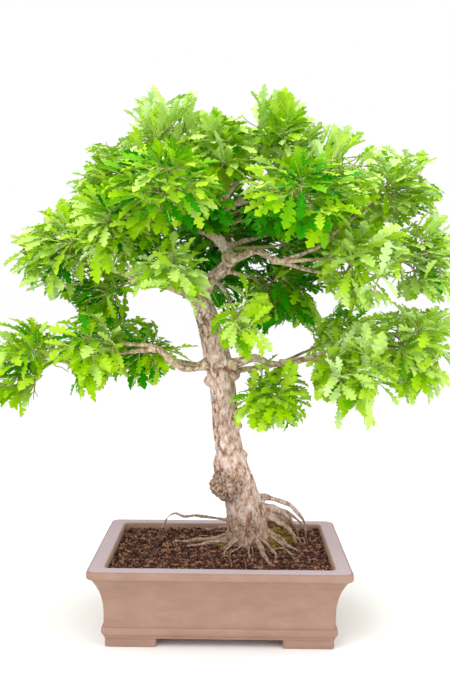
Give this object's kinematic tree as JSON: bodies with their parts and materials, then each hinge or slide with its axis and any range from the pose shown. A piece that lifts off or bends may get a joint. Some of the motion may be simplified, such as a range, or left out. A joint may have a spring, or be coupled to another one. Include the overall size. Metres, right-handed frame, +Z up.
{
  "type": "oak bonsai in a pot",
  "caption": "Small potted oak tree with a bare curved trunk, surface roots, spreading boughs and a wide leafy crown, in a rectangular unglazed pot with corner feet.",
  "frame": {"origin": "middle of the pot's underside, on the surface it stands on", "axes": "+Z up from the pot's feet to the crown's top, +X along the pot's long side to the tree's right, -Y towards the tree's front"},
  "size_m": [0.6928, 0.5177, 0.7796],
  "materials": {
    "pot_clay": "unglazed, matt, fine-grained clay",
    "soil": "loose dark granules",
    "bark": "rough fissured bark",
    "leaves": "fresh green, softly matt"
  },
  "bodies": {
    "root": {"pot": "pot_clay", "soil": "soil", "trunk": "bark", "bough_lower_right_inner": "bark", "bough_lower_right": "bark", "bough_lower_right_tip": "bark", "bough_lower_right_back": "bark", "bough_lower_left": "bark", "bough_lower_left_inner": "bark", "bough_lower_left_tip": "bark", "bough_lower_left_back": "bark", "bough_front": "bark", "bough_front_hanging": "bark", "bough_upper_left": "bark", "bough_left_under": "bark", "bough_left_front": "bark", "bough_right_back_low": "bark", "bough_upper_right": "bark", "bough_right_tip": "bark", "bough_right_shoulder": "bark", "bough_back": "bark", "bough_right_back": "bark", "bough_left_back": "bark", "bough_top_left": "bark", "bough_left_high": "bark", "bough_front_left_high": "bark", "bough_right_high": "bark", "bough_front_right_high": "bark", "bough_top_right": "bark", "bough_top_back": "bark", "leaves_lower_right_inner": "leaves", "leaves_lower_right": "leaves", "leaves_lower_right_tip": "leaves", "leaves_lower_right_back": "leaves", "leaves_lower_left": "leaves", "leaves_lower_left_inner": "leaves", "leaves_lower_left_tip": "leaves", "leaves_lower_left_back": "leaves", "leaves_front": "leaves", "leaves_front_hanging": "leaves", "leaves_upper_left": "leaves", "leaves_left_under": "leaves", "leaves_left_front": "leaves", "leaves_right_back_low": "leaves", "leaves_upper_right": "leaves", "leaves_right_tip": "leaves", "leaves_right_shoulder": "leaves", "leaves_back": "leaves", "leaves_right_back": "leaves", "leaves_left_back": "leaves", "leaves_top_left": "leaves", "leaves_left_high": "leaves", "leaves_front_left_high": "leaves", "leaves_right_high": "leaves", "leaves_front_right_high": "leaves", "leaves_top_right": "leaves", "leaves_top_back": "leaves", "leaves_top": "leaves"}
  },
  "joints": []
}
